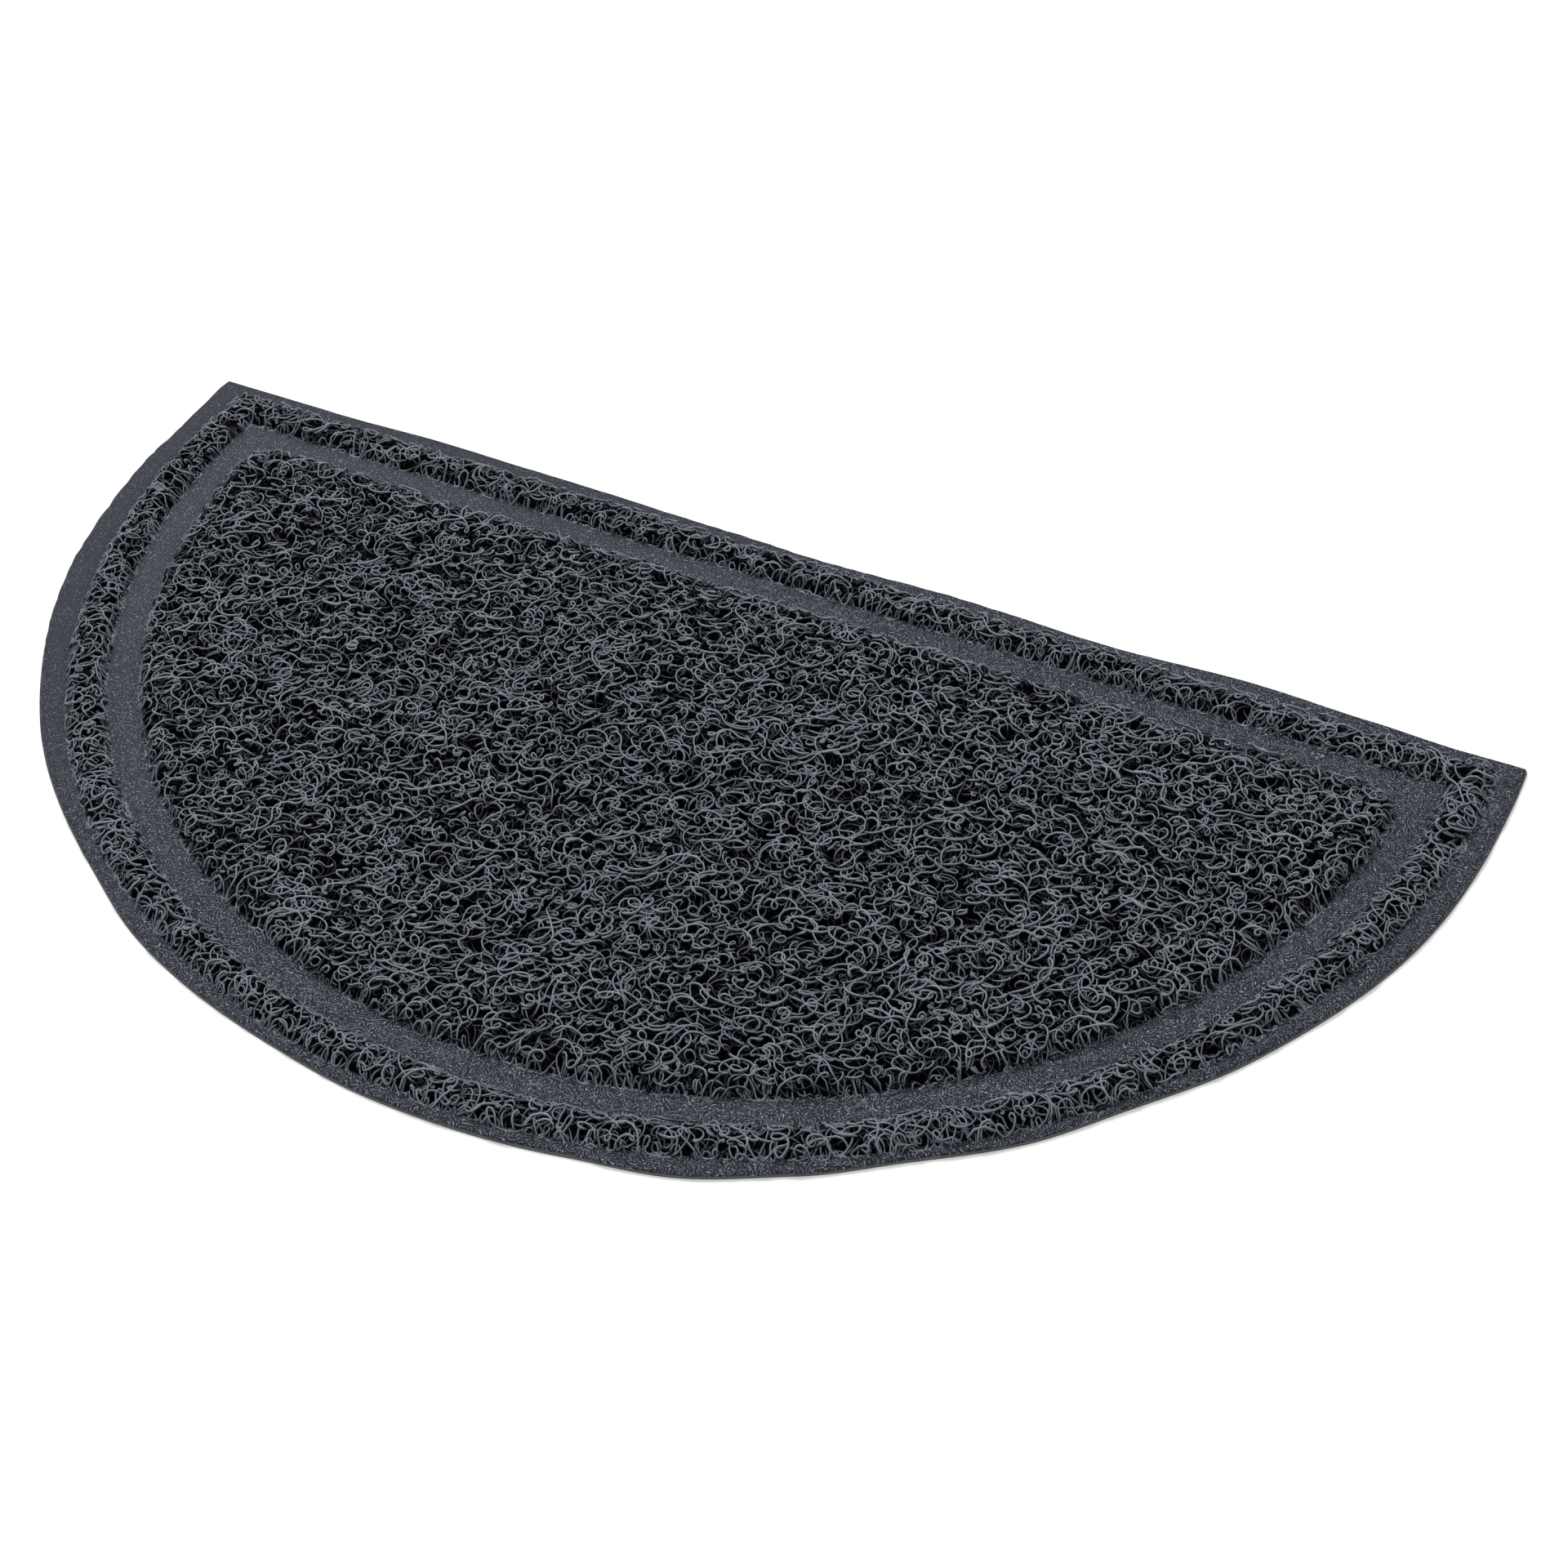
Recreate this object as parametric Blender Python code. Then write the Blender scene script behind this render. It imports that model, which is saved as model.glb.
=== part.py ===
"""Half round litter mat: a web of looped vinyl strands fused onto a thin vinyl backing.

X runs along the straight edge, which lies at +Y; the round edge faces -Y.
The origin is in the middle of the mat's box, on the surface that it lies on.
"""

import math

import bmesh
import bpy
from mathutils import Vector, noise

MM = 0.001

# Outline, seen from above
ARC_RADIUS = 300.0 * MM
EDGE_BEHIND_CENTRE = 42.0 * MM
EDGE_POINTS = 72
ARC_POINTS = 112

# Bands, from the cut edge inwards
RIM_WIDTH = 8.2 * MM
BORDER_WIDTH = 14.2 * MM
GROOVE_WIDTH = 15.0 * MM
BORDER_START = RIM_WIDTH
GROOVE_START = BORDER_START + BORDER_WIDTH
FIELD_START = GROOVE_START + GROOVE_WIDTH

# The pressed pattern, which lies a little off the cut arc: its centre and how much smaller it is
PATTERN_RIGHT = 2.0 * MM
PATTERN_BACK = -6.0 * MM
PATTERN_SMALLER = 3.8 * MM

# Heights
BACKING_THICKNESS = 1.2 * MM
LAYER_GAP = 0.3 * MM
FUSED_THICKNESS = 1.4 * MM
WEB_BOTTOM = BACKING_THICKNESS + LAYER_GAP
FUSED_TOP = WEB_BOTTOM + FUSED_THICKNESS
BORDER_RISE = 5.0 * MM
FIELD_RISE = 6.2 * MM

# Shoulders of the raised bands: how far in from the foot, and the share of the rise there
STEEP_RUN, STEEP_SHARE = 1.2 * MM, 0.65
CROWN_RUN, CROWN_SHARE = 4.0 * MM, 1.0

# Lumps that the loops make on the raised bands
LUMP_PITCH = 14.0 * MM
LUMP_HEIGHT = 1.8 * MM
FIELD_CELL = 7.0 * MM
CELL_SNAP = 0.5 * MM

# The knife's waver along the straight edge: share of the way from left to right, mm outwards
EDGE_WAVER = (
    (0.00, 0.0), (0.10, 0.0), (0.18, 1.7), (0.27, 1.1), (0.42, -0.6), (0.48, -1.7),
    (0.60, 0.7), (0.70, -1.2), (0.81, 2.5), (0.90, 0.8), (0.95, -0.6), (1.00, 0.0),
)
# The same along the round edge: share of the way from right to left, mm outwards
ARC_WAVER = (
    (0.00, 0.0), (0.03, -0.5), (0.11, 1.4), (0.19, -0.6), (0.24, -2.7), (0.28, -0.7),
    (0.32, -2.0), (0.36, 0.7), (0.40, 3.0), (0.44, 0.2), (0.52, -0.2), (0.56, -1.3),
    (0.64, 0.1), (0.68, -1.5), (0.77, 1.4), (0.85, 1.6), (0.93, -1.1), (0.97, -2.4),
    (1.00, 0.0),
)

# Vinyl colours, linear
WEB_COLOUR = (0.070, 0.078, 0.095, 1.0)
BACKING_COLOUR = (0.030, 0.033, 0.040, 1.0)
VINYL_ROUGHNESS = 0.5


def clear_scene():
    """Remove every object, so that the mat stands alone."""
    for obj in list(bpy.data.objects):
        bpy.data.objects.remove(obj, do_unlink=True)


def new_collection(name):
    """Add a collection to the scene."""
    collection = bpy.data.collections.new(name)
    bpy.context.scene.collection.children.link(collection)
    return collection


def vinyl(name, colour):
    """A plain vinyl material."""
    material = bpy.data.materials.new(name)
    material.use_nodes = True
    shader = material.node_tree.nodes["Principled BSDF"]
    shader.inputs["Base Color"].default_value = colour
    shader.inputs["Roughness"].default_value = VINYL_ROUGHNESS
    shader.inputs["Metallic"].default_value = 0.0
    return material


def waver(table, share):
    """The knife's offset at a share of the way, eased between the table's places."""
    for (start, low), (end, high) in zip(table, table[1:]):
        if share <= end:
            along = (share - start) / (end - start)
            eased = along * along * (3.0 - 2.0 * along)
            return (low + (high - low) * eased) * MM
    return table[-1][1] * MM


def ring(inset):
    """Plan points of the outline moved inwards, round the mat and with the same count each time.

    The straight edge runs from left to right, then the arc comes back from right to left.
    The knife's waver is whole at the cut edge and gone where the rim ends, and from there on
    the lines follow the pressed pattern.
    """
    pattern = min(1.0, inset / RIM_WIDTH)
    waver_left = 1.0 - pattern
    centre = Vector((PATTERN_RIGHT, PATTERN_BACK)) * pattern
    radius = ARC_RADIUS - PATTERN_SMALLER * pattern - inset
    edge_y = EDGE_BEHIND_CENTRE - inset
    half_edge = math.sqrt(radius ** 2 - (edge_y - centre.y) ** 2)
    corner_angle = math.atan2(edge_y - centre.y, half_edge)
    points = []
    for i in range(EDGE_POINTS):
        share = i / EDGE_POINTS
        x = centre.x + half_edge * (2.0 * share - 1.0)
        points.append(Vector((x, edge_y + waver_left * waver(EDGE_WAVER, share))))
    for i in range(ARC_POINTS):
        share = i / ARC_POINTS
        angle = corner_angle - share * (math.pi + 2.0 * corner_angle)
        reach = radius + waver_left * waver(ARC_WAVER, share)
        points.append(centre + reach * Vector((math.cos(angle), math.sin(angle))))
    return points


def outline_middle():
    """The middle of the box around the cut outline, which becomes the origin."""
    points = ring(0.0)
    xs = [point.x for point in points]
    ys = [point.y for point in points]
    return Vector(((min(xs) + max(xs)) / 2.0, (min(ys) + max(ys)) / 2.0))


def add_backing(collection, middle):
    """The backing film: the cut outline as a flat filled curve, extruded both ways."""
    curve = bpy.data.curves.new("backing_sheet", "CURVE")
    curve.dimensions = "2D"
    curve.fill_mode = "BOTH"
    curve.extrude = BACKING_THICKNESS / 2.0
    points = ring(0.0)
    spline = curve.splines.new("POLY")
    spline.points.add(len(points) - 1)
    for spot, point in zip(spline.points, points):
        spot.co = (point.x - middle.x, point.y - middle.y, 0.0, 1.0)
    spline.use_cyclic_u = True
    curve.materials.append(vinyl("backing_vinyl", BACKING_COLOUR))
    backing = bpy.data.objects.new("backing_sheet", curve)
    backing.location.z = BACKING_THICKNESS / 2.0
    collection.objects.link(backing)


def web_section():
    """Distance in from the cut edge and height of each line across the web's bands."""
    section = [(0.0, FUSED_TOP), (BORDER_START, FUSED_TOP)]
    shoulder = ((STEEP_RUN, STEEP_SHARE), (CROWN_RUN, CROWN_SHARE))
    for run, share in shoulder:
        section.append((BORDER_START + run, FUSED_TOP + share * BORDER_RISE))
    for run, share in reversed(shoulder):
        section.append((GROOVE_START - run, FUSED_TOP + share * BORDER_RISE))
    section += [(GROOVE_START, FUSED_TOP), (FIELD_START, FUSED_TOP)]
    for run, share in shoulder:
        section.append((FIELD_START + run, FUSED_TOP + share * FIELD_RISE))
    return section


def add_line(mesh, inset, height, middle):
    """Add the corners of one line round the web, at a distance in from the cut edge."""
    return [
        mesh.verts.new((point.x - middle.x, point.y - middle.y, height))
        for point in ring(inset)
    ]


def loft_band(mesh, outer, inner):
    """Join two lines round the web, which differ in shape, by a band of four-sided faces."""
    for i in range(len(outer)):
        mesh.faces.new((outer[i - 1], outer[i], inner[i], inner[i - 1]))


def cut_into_cells(mesh, in_field):
    """Slice the flat top of the field both ways, so that it can carry lumps."""
    reach = math.ceil(ARC_RADIUS / FIELD_CELL)
    for normal in (Vector((1.0, 0.0, 0.0)), Vector((0.0, 1.0, 0.0))):
        for step in range(-reach, reach + 1):
            faces = [face for face in mesh.faces if face[in_field]]
            edges = {edge for face in faces for edge in face.edges}
            verts = {vert for face in faces for vert in face.verts}
            bmesh.ops.bisect_plane(
                mesh,
                geom=list(verts) + list(edges) + faces,
                dist=CELL_SNAP,
                plane_co=normal * step * FIELD_CELL,
                plane_no=normal,
            )


def raise_lumps(mesh):
    """Move everything above the fused level up or down by smooth noise."""
    for vert in mesh.verts:
        share = (vert.co.z - FUSED_TOP) / FIELD_RISE
        if share > 0.0:
            spot = Vector((vert.co.x, vert.co.y, 0.0)) / LUMP_PITCH
            vert.co.z += share * LUMP_HEIGHT * noise.noise(spot)


def add_web(collection, middle):
    """The loop web: lines round the mat lofted into bands, over a flat underside."""
    mesh = bmesh.new()
    in_field = mesh.faces.layers.int.new("in_field")
    outer = add_line(mesh, 0.0, WEB_BOTTOM, middle)
    mesh.faces.new(outer)
    for inset, height in web_section():
        inner = add_line(mesh, inset, height, middle)
        loft_band(mesh, outer, inner)
        outer = inner
    mesh.faces.new(outer)[in_field] = 1
    cut_into_cells(mesh, in_field)
    raise_lumps(mesh)
    bmesh.ops.recalc_face_normals(mesh, faces=mesh.faces)
    if mesh.calc_volume(signed=True) < 0.0:
        bmesh.ops.reverse_faces(mesh, faces=mesh.faces)
    data = bpy.data.meshes.new("coil_web")
    mesh.to_mesh(data)
    mesh.free()
    data.materials.append(vinyl("web_vinyl", WEB_COLOUR))
    collection.objects.link(bpy.data.objects.new("coil_web", data))


def main():
    clear_scene()
    collection = new_collection("half_round_litter_mat")
    middle = outline_middle()
    add_backing(collection, middle)
    add_web(collection, middle)


main()
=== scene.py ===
"""Half round litter mat: looped vinyl strands fused onto a vinyl film."""

import math

import bpy
import numpy as np
from mathutils import Matrix, Vector


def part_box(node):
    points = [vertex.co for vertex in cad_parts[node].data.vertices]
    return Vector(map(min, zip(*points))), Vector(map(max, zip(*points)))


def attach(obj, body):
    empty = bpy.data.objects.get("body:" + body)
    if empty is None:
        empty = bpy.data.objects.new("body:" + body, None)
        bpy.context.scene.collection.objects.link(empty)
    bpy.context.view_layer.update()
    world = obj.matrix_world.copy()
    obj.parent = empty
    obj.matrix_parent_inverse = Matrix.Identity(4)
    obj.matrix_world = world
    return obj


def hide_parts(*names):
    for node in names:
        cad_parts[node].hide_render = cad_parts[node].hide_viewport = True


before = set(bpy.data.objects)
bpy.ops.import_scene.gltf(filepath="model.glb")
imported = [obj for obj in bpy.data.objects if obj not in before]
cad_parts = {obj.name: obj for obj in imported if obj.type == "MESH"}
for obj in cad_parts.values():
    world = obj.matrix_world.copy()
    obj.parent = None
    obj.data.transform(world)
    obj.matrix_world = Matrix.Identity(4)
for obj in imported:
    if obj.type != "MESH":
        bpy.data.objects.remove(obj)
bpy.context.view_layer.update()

MM = 0.001
BODY = "root"

# Outline, as the solids have it: an arc cut by a straight edge behind its centre
ARC_RADIUS = 300.0 * MM
EDGE_BEHIND_CENTRE = 42.0 * MM
EDGE_WAVER = np.array((
    (0.00, 0.0), (0.10, 0.0), (0.18, 1.7), (0.27, 1.1), (0.42, -0.6), (0.48, -1.7),
    (0.60, 0.7), (0.70, -1.2), (0.81, 2.5), (0.90, 0.8), (0.95, -0.6), (1.00, 0.0),
))
ARC_WAVER = np.array((
    (0.00, 0.0), (0.03, -0.5), (0.11, 1.4), (0.19, -0.6), (0.24, -2.7), (0.28, -0.7),
    (0.32, -2.0), (0.36, 0.7), (0.40, 3.0), (0.44, 0.2), (0.52, -0.2), (0.56, -1.3),
    (0.64, 0.1), (0.68, -1.5), (0.77, 1.4), (0.85, 1.6), (0.93, -1.1), (0.97, -2.4),
    (1.00, 0.0),
))

# The pressed pattern, which lies a little off the cut arc: its centre and how much smaller it is
PATTERN_RIGHT = 2.0 * MM
PATTERN_BACK = -6.0 * MM
PATTERN_SMALLER = 3.8 * MM

# Bands, from the cut edge inwards
RIM_WIDTH = 8.2 * MM
BORDER_WIDTH = 14.2 * MM
GROOVE_WIDTH = 15.0 * MM
BORDER_START = RIM_WIDTH
GROOVE_START = BORDER_START + BORDER_WIDTH
FIELD_START = GROOVE_START + GROOVE_WIDTH
SHOULDER = 4.5 * MM
SHOULDER_TO_RIGHT, SHOULDER_TO_FRONT = 0.9, 0.4
FOOT_RAGGED = 0.7 * MM
RAGGED_TO_RIGHT = 1.6
FIELD_CORNER = 14.0 * MM

# Heights of the layers
FILM_TOP = 1.2 * MM
WEB_FLOOR = FILM_TOP + 0.1 * MM
PRESSED_TOP = 2.6 * MM
BAND_TOP = PRESSED_TOP - 0.1 * MM
BORDER_RISE = 5.2 * MM
FIELD_RISE = 6.4 * MM

# Slow lumps of the web's top: waves in radians a millimetre to the right and the back, and a phase
LUMP_HEIGHT = 0.5 * MM
LUMP_WAVES = ((0.21, 0.13, 0.4), (-0.11, 0.24, 1.9), (0.31, -0.18, 3.1), (0.07, 0.36, 5.2))

# The fused bands' sections: rounding of the edges, lap under the loops, gap to the cut and fray
BAND_EASING = 0.5 * MM
BAND_LAP = 0.4 * MM
BAND_TO_CUT = 0.2 * MM
BAND_FRAY = 0.2 * MM
FRAY_SPAN = 2.0
# Painted shade of the rim and of the groove, which darkens their vinyl
RIM_SHADE, GROOVE_SHADE = 0.42, 0.10

# Lines round the mat: points on the straight edge and on the arc, and a place well inside both
RING_EDGE_POINTS = 220
RING_ARC_POINTS = 360
HUB = (0.0, -0.3 * ARC_RADIUS)

# Loop strands; the layers, from the top down, give a level and the metres laid on a square metre
STRAND_RADIUS = 0.515 * MM
STRAND_STEPS = 24
STRAND_DIVE = 4.0
LOOP_RADIUS = 2.2 * MM
STEP_TURN = math.radians(36.0)
COARSER_TO_RIGHT = 0.10
COARSER_TO_FRONT = 0.10
LAYERS = ((1.00, 1330.0), (0.76, 720.0), (0.50, 180.0))
OVERLAP = 1.8 * MM
LOOPS_TO_CUT = 0.5 * MM
# Painted shade on the strands' two lower sides, added to their depth
UNDERSIDE_SHADE = 0.30

# How the loops lie in the web, as shares of its height
LOOP_TILT = (0.08, 0.42)
LOOP_WAVER, LOOP_WAVER_SPAN = 0.07, 10.0
HIGHEST_SHARE = 1.06

# How strands wind: lean to one side, wander of the circle, limits of its radius, and carry
LEAN = (0.75, 1.45)
LEAN_FIRMNESS = 2.2
TURN_SPAN, BEND_SPAN, CARRY_SPAN = 8.0, 7.0, 20.0
BEND_WANDER, BEND_SPREAD, CARRY_WANDER = 0.26, 0.20, 0.5
BEND_LEAST, BEND_MOST = 0.8, 1.9
LOOP_CARRY = (0.25, 0.75)
SWIRL_CARRY = (0.2, 1.3)

# Share by which a strand's thickness wanders
THICKNESS_WAVER, THICKNESS_SPAN = 0.07, 10.0

# Pressed strands; the length is the metres laid on a square metre
PRESSED_RADIUS = 0.38 * MM
PRESSED_STEPS = 18
PRESSED_DIVE = 2.0
SWIRL_RADIUS = 1.8 * MM
PRESSED_LENGTH = 330.0
# A fixed depth for the pressed strands, which gives them some of loop_vinyl's painted shade
PRESSED_DEPTH = 0.29
PRESSED_SUNK = 0.24 * MM
PRESSED_WAVER, PRESSED_WAVER_SPAN = 0.10 * MM, 6.0
PRESSED_DIP = 0.5 * MM
PRESSED_TO_CUT = 1.0 * MM

# The press went deeper to the back and the left: the slope of the line where that starts, the
# run over which it grows, and how fast the strands are lost
# DEEP_SLOPE also sets where the pressed vinyl's painted shade grows
DEEP_SLOPE = 1.3
DEEP_RUN = 0.5
STRANDS_LOST = 3.0

# Layout of the UV maps: strands side by side in lanes on shelves, a band folded into rows
UV_LANES = 8
UV_FOLDS = 10
LANE_MARGIN, LANE_LENGTH = 0.02, 0.96
SHELF_MARGIN, SHELF_HEIGHT = 0.1, 0.8
CAP_WIDTH = 0.3
UNDERSIDE_WIDTH = 1.0 * MM

# Areas to fill, spare for strands that miss them, and a step's length as a share of its circle's
RAISED_AREA, RAISED_SPARE, LOOP_STEP = 125000.0 * MM * MM, 1.12, 1.25
PRESSED_AREA, PRESSED_SPARE, SWIRL_STEP = 34000.0 * MM * MM, 1.25, 1.15

# Laying the strands evenly; starts are drawn in tenths of the number that is wanted
SPILL = 22.0 * MM
START_MARGIN = 8.0 * MM
START_TENTHS = 40
TRIES = 5
BATCHES = 24
CELL = 1.9 * MM
PRESSED_CELL = 1.2 * MM
LEAST_INSIDE = 0.25
LEAST_COUNTED = 4
OUTSIDE_LOAD = 1e6

# Camera, fitted to the photograph's outline: degrees, and metres from the straight edge's middle
CAMERA_ANGLES = (28.675, 41.949, -2.202)
CAMERA_DISTANCE = 1.5782
TARGET_RIGHT, TARGET_IN_FRONT = 0.0415, 0.1281
LENS, SENSOR_WIDTH = 93.75, 36.0
NEAREST_SEEN = 0.05

# Studio: the surround's strength, and each light's name, place, size in metres and watts
SURROUND = 0.52
SOFTBOXES = (
    ("softbox_back", (-1.2, 1.2, 2.4), 1.35, 62.0),
    ("softbox_front", (0.3, -1.0, 1.9), 1.2, 14.0),
)
FLOOR_HALF = 6.0
FLOOR_GREY = 0.92

SEED = 412


def waver(table, share):
    """The knife's offset outwards at a share of the way, eased between the table's places."""
    share = np.clip(share, 0.0, 1.0)
    place = np.clip(np.searchsorted(table[:, 0], share, side="right") - 1, 0, len(table) - 2)
    start, low = table[place, 0], table[place, 1]
    end, high = table[place + 1, 0], table[place + 1, 1]
    along = (share - start) / (end - start)
    return (low + (high - low) * along * along * (3.0 - 2.0 * along)) * MM


def pattern_share(inset):
    """How far a line has gone over from the cut, at 0, to the pattern, where the rim ends."""
    return min(inset / RIM_WIDTH, 1.0)


def arc_of(inset):
    """The arc's centre and radius at a distance in.

    Both go over from the cut's to the pattern's, and the radius is less by the distance.
    """
    share = pattern_share(inset)
    radius = ARC_RADIUS - share * PATTERN_SMALLER - inset
    return share * PATTERN_RIGHT, share * PATTERN_BACK, radius


def corner_of(inset):
    """Half the straight edge's length, and the angle of its right end, at a distance in.

    The edge is a chord: half of it squared is the radius squared less its height squared.
    """
    _, back, radius = arc_of(inset)
    above = EDGE_BEHIND_CENTRE - inset - back
    half_edge = math.sqrt(radius ** 2 - above ** 2)
    return half_edge, math.atan2(above, half_edge)


HALF_EDGE, CORNER_ANGLE = corner_of(0.0)


def edge_point(inset, share):
    """A point on the straight edge, a share of the way from left to right, with what is left
    of the knife's waver.
    """
    half_edge, _ = corner_of(inset)
    offset = (1.0 - pattern_share(inset)) * waver(EDGE_WAVER, share)
    return arc_of(inset)[0] + half_edge * (2.0 * share - 1.0), EDGE_BEHIND_CENTRE - inset + offset


def arc_point(inset, share):
    """A point on the round edge, a share of the way from right to left, with what is left
    of the knife's waver.
    """
    right, back, radius = arc_of(inset)
    _, corner = corner_of(inset)
    angle = corner - share * (math.pi + 2.0 * corner)
    reach = radius + (1.0 - pattern_share(inset)) * waver(ARC_WAVER, share)
    return right + reach * np.cos(angle), back + reach * np.sin(angle)


def outline_offset():
    """How far the arc's centre lies from the origin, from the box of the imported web."""
    share = np.linspace(0.0, 1.0, 600)
    points = np.hstack([edge_point(0.0, share), arc_point(0.0, share)])
    middle = (points.min(axis=1) + points.max(axis=1)) / 2.0
    low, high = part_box("coil_web")
    return (low[0] + high[0]) / 2.0 - middle[0], (low[1] + high[1]) / 2.0 - middle[1]


OFFSET_X, OFFSET_Y = outline_offset()


def arc_distance_in(x, y):
    """Distance in from the pattern's arc."""
    return ARC_RADIUS - PATTERN_SMALLER - np.hypot(x - PATTERN_RIGHT, y - PATTERN_BACK)


def distance_in(x, y):
    """Distance in from the pattern's outline: the nearer of the straight edge and its arc."""
    return np.minimum(EDGE_BEHIND_CENTRE - y, arc_distance_in(x, y))


def field_distance_in(x, y):
    """Distance in near the field's foot, whose two corners are rounded: it grows no further inside.

    Past the corner's centre both ways, it is the radius less the distance from that centre.
    """
    inner = FIELD_START + FIELD_CORNER
    past_edge = np.maximum(inner - (EDGE_BEHIND_CENTRE - y), 0.0)
    past_arc = np.maximum(inner - arc_distance_in(x, y), 0.0)
    return inner - np.hypot(past_edge, past_arc)


def cut_distance_in(x, y):
    """Distance in from the cut: that from the even outline, and the knife's offset there."""
    on_edge = waver(EDGE_WAVER, (x / HALF_EDGE + 1.0) / 2.0)
    angle = np.arctan2(y, x)
    angle = np.where(angle > math.pi / 2.0, angle - 2.0 * math.pi, angle)
    on_arc = waver(ARC_WAVER, (CORNER_ANGLE - angle) / (math.pi + 2.0 * CORNER_ANGLE))
    from_edge = EDGE_BEHIND_CENTRE - y
    from_arc = ARC_RADIUS - np.hypot(x, y)
    return np.where(from_edge < from_arc, from_edge + on_edge, from_arc + on_arc)


def shoulder(run):
    """Rise from 0 to 1 over a run from 0 to 1: steep at the foot and round at the crown."""
    left = 1.0 - np.clip(run, 0.0, 1.0)
    return np.sqrt(1.0 - left ** 3)


def web_rise(x, y, ragged):
    """How far the loops stand above the pressed level at a place, with a ragged foot.

    The border strip rises over a shoulder from its nearer side, and the field from its foot.
    Towards the right the shoulders are longer and the foot is more ragged. Towards the front the
    shoulders are a little longer too.
    """
    to_right = np.clip(x / ARC_RADIUS, 0.0, 1.0)
    to_front = np.clip(-y / ARC_RADIUS, 0.0, 1.0)
    run = SHOULDER * (1.0 + SHOULDER_TO_RIGHT * to_right + SHOULDER_TO_FRONT * to_front)
    ragged = ragged * (1.0 + RAGGED_TO_RIGHT * to_right)
    inset = distance_in(x, y) + ragged
    from_side = BORDER_WIDTH / 2.0 - np.abs(inset - (BORDER_START + GROOVE_START) / 2.0)
    border = BORDER_RISE * shoulder(from_side / run)
    field = FIELD_RISE * shoulder((field_distance_in(x, y) + ragged - FIELD_START) / run)
    return border + field


def smooth_noise(rng, rows, columns, span):
    """Random rows, each a gently changing line of unit spread: noise blurred along the row."""
    waves = np.fft.rfftfreq(columns)
    blur = np.exp(-0.5 * (waves * span * 2.0) ** 2)
    noise = rng.normal(size=(rows, columns))
    lines = np.fft.irfft(np.fft.rfft(noise, axis=1) * blur, columns, axis=1)
    return lines / lines.std()


def coarseness(x, y):
    """The size of the web's loops: 1 near the middle, more to the right and the front."""
    return 1.0 + (COARSER_TO_RIGHT * x - COARSER_TO_FRONT * (y + ARC_RADIUS / 3.0)) / ARC_RADIUS


def strand_walks(rng, starts, steps, radius, carried):
    """Plan lines of strands, and their headings.

    Each strand turns by about the same angle a step, left or right for some steps on end, on a
    circle whose radius wanders, and is carried along as it turns, so it lies in open loops.
    """
    rows = len(starts)
    lean = rng.choice((-1.0, 1.0), size=(rows, 1)) * rng.uniform(*LEAN, (rows, 1))
    turn = STEP_TURN * np.tanh(LEAN_FIRMNESS * (smooth_noise(rng, rows, steps, TURN_SPAN) + lean))
    spread = BEND_WANDER * smooth_noise(rng, rows, steps, BEND_SPAN)
    spread = spread + BEND_SPREAD * rng.normal(size=(rows, 1))
    bend = np.clip(radius * np.exp(spread), BEND_LEAST * radius, BEND_MOST * radius)
    step = bend * STEP_TURN * coarseness(starts[:, :1], starts[:, 1:])
    heading = rng.uniform(0.0, 2.0 * math.pi, (rows, 1)) + np.cumsum(turn, axis=1)
    toward = rng.uniform(0.0, 2.0 * math.pi, (rows, 1))
    toward = toward + CARRY_WANDER * smooth_noise(rng, rows, steps, CARRY_SPAN)
    carry = rng.uniform(*carried, (rows, 1)) * step
    x = np.cumsum(step * np.cos(heading) + carry * np.cos(toward), axis=1)
    y = np.cumsum(step * np.sin(heading) + carry * np.sin(toward), axis=1)
    x += starts[:, :1] - x.mean(axis=1, keepdims=True)
    y += starts[:, 1:] - y.mean(axis=1, keepdims=True)
    return x, y, heading


def lay_evenly(rng, count, steps, run, radius, carried, cell, wanted):
    """Strands laid in batches, each the best of a few tries: the one whose way was covered least.

    A grid of cells counts the points that lie in and beside each cell. Those near a strand's ends
    count less, because they dive. wanted says whether a place lies in the area to be filled, or
    within a margin of it.
    """
    shown = dive(steps, run)
    low = np.array((-ARC_RADIUS - SPILL, -ARC_RADIUS - SPILL))
    high = np.array((ARC_RADIUS + SPILL, EDGE_BEHIND_CENTRE + SPILL))
    size = np.ceil((high - low) / cell).astype(int) + 3
    cover = np.zeros(size)
    laid = []
    for _ in range(BATCHES):
        starts = rng.uniform(low, high, (START_TENTHS * count // BATCHES * TRIES // 10, 2))
        starts = starts[wanted(starts[:, 0], starts[:, 1], START_MARGIN)]
        starts = starts[: count // BATCHES * TRIES]
        starts = starts[: len(starts) // TRIES * TRIES]
        x, y, heading = strand_walks(rng, starts, steps, radius, carried)
        column = np.clip(((x - low[0]) / cell).astype(int) + 1, 1, size[0] - 2)
        row = np.clip(((y - low[1]) / cell).astype(int) + 1, 1, size[1] - 2)
        counts = wanted(x, y, 0.0) * shown
        counted = np.maximum(counts.sum(axis=1), LEAST_COUNTED)
        load = (cover[column, row] * counts).sum(axis=1) / counted
        load += OUTSIDE_LOAD * (counts.mean(axis=1) < LEAST_INSIDE)
        best = load.reshape(-1, TRIES).argmin(axis=1) + np.arange(len(starts) // TRIES) * TRIES
        for shift_x in (-1, 0, 1):
            for shift_y in (-1, 0, 1):
                share = shown * coarseness(x[best], y[best]) / (1.0 + abs(shift_x) + abs(shift_y))
                np.add.at(cover, (column[best] + shift_x, row[best] + shift_y), share)
        laid.append(np.stack([x[best], y[best], heading[best]]))
    return np.concatenate(laid, axis=1)


def dive(steps, run):
    """A share that is 1 along a strand and falls to 0, as a sine, over the steps at its ends."""
    number = np.arange(steps)
    from_end = np.minimum(number, steps - 1 - number)
    return np.sin(0.5 * math.pi * np.clip(from_end / run, 0.0, 1.0))


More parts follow.
